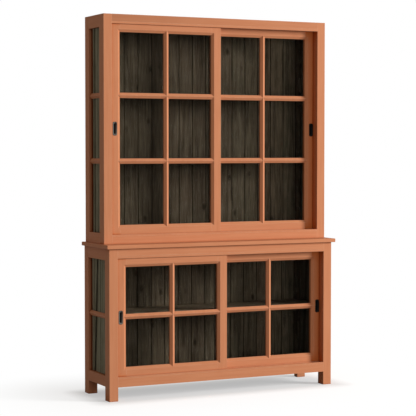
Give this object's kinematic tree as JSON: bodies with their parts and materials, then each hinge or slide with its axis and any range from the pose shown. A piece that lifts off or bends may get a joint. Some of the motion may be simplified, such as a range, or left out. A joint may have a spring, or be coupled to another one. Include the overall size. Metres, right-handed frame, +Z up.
{
  "type": "mizuya kitchen cabinet",
  "caption": "Stacked kitchen cabinet: a low case on square legs under a thick plank, a shallower case above, both with glazed sliding doors, ridged glazing bars and glazed sides.",
  "frame": {"origin": "on the floor, in the middle of the whole footprint", "axes": "+X to the right seen from the front, +Y to the back, +Z up; the doors face -Y"},
  "size_m": [1.428, 0.382, 2.106],
  "materials": {
    "painted_softwood": "satin",
    "stained_boards": "matte",
    "window_glass": "polished",
    "black_iron": "satin"
  },
  "bodies": {
    "cabinet": {"lower_back_boards": "stained_boards", "lower_floor_board": "stained_boards", "lower_front_bottom_rail": "painted_softwood", "lower_front_post_left": "painted_softwood", "lower_front_post_right": "painted_softwood", "lower_front_top_rail": "painted_softwood", "lower_head_board": "stained_boards", "lower_rear_posts": "painted_softwood", "lower_rear_rails": "painted_softwood", "lower_shelf": "stained_boards", "lower_side_boards": "stained_boards", "lower_side_rails": "painted_softwood", "lower_track_fillets": "painted_softwood", "plank_top": "painted_softwood", "shelf_cleats": "stained_boards", "side_glazing_bars": "painted_softwood", "side_panes": "window_glass", "upper_back_boards": "stained_boards", "upper_floor_board": "stained_boards", "upper_front_bottom_rail": "painted_softwood", "upper_front_post_left": "painted_softwood", "upper_front_post_right": "painted_softwood", "upper_front_top_rail": "painted_softwood", "upper_head_board": "stained_boards", "upper_rear_posts": "painted_softwood", "upper_rear_rails": "painted_softwood", "upper_shelves": "stained_boards", "upper_side_boards": "stained_boards", "upper_side_rails": "painted_softwood", "upper_top_board": "stained_boards", "upper_track_fillets": "painted_softwood"},
    "upper_left_door": {"upper_left_door_glazing_bars": "painted_softwood", "upper_left_door_glazing_beads": "painted_softwood", "upper_left_door_meeting_stile": "painted_softwood", "upper_left_door_outer_stile": "painted_softwood", "upper_left_door_panes": "window_glass", "upper_left_door_pull": "black_iron", "upper_left_door_rails": "painted_softwood"},
    "upper_right_door": {"upper_right_door_glazing_bars": "painted_softwood", "upper_right_door_glazing_beads": "painted_softwood", "upper_right_door_meeting_stile": "painted_softwood", "upper_right_door_outer_stile": "painted_softwood", "upper_right_door_panes": "window_glass", "upper_right_door_pull": "black_iron", "upper_right_door_rails": "painted_softwood"},
    "lower_left_door": {"lower_left_door_glazing_bars": "painted_softwood", "lower_left_door_glazing_beads": "painted_softwood", "lower_left_door_meeting_stile": "painted_softwood", "lower_left_door_outer_stile": "painted_softwood", "lower_left_door_panes": "window_glass", "lower_left_door_pull": "black_iron", "lower_left_door_rails": "painted_softwood"},
    "lower_right_door": {"lower_right_door_glazing_bars": "painted_softwood", "lower_right_door_glazing_beads": "painted_softwood", "lower_right_door_meeting_stile": "painted_softwood", "lower_right_door_outer_stile": "painted_softwood", "lower_right_door_panes": "window_glass", "lower_right_door_pull": "black_iron", "lower_right_door_rails": "painted_softwood"}
  },
  "joints": [
    {"name": "upper_left_door_slide", "type": "slide", "parent": "cabinet", "child": "upper_left_door", "axis": [1, 0, 0], "range_m": [0, 0.625]},
    {"name": "upper_right_door_slide", "type": "slide", "parent": "cabinet", "child": "upper_right_door", "axis": [1, 0, 0], "range_m": [-0.625, 0]},
    {"name": "lower_left_door_slide", "type": "slide", "parent": "cabinet", "child": "lower_left_door", "axis": [1, 0, 0], "range_m": [0, 0.625]},
    {"name": "lower_right_door_slide", "type": "slide", "parent": "cabinet", "child": "lower_right_door", "axis": [1, 0, 0], "range_m": [-0.625, 0]}
  ]
}
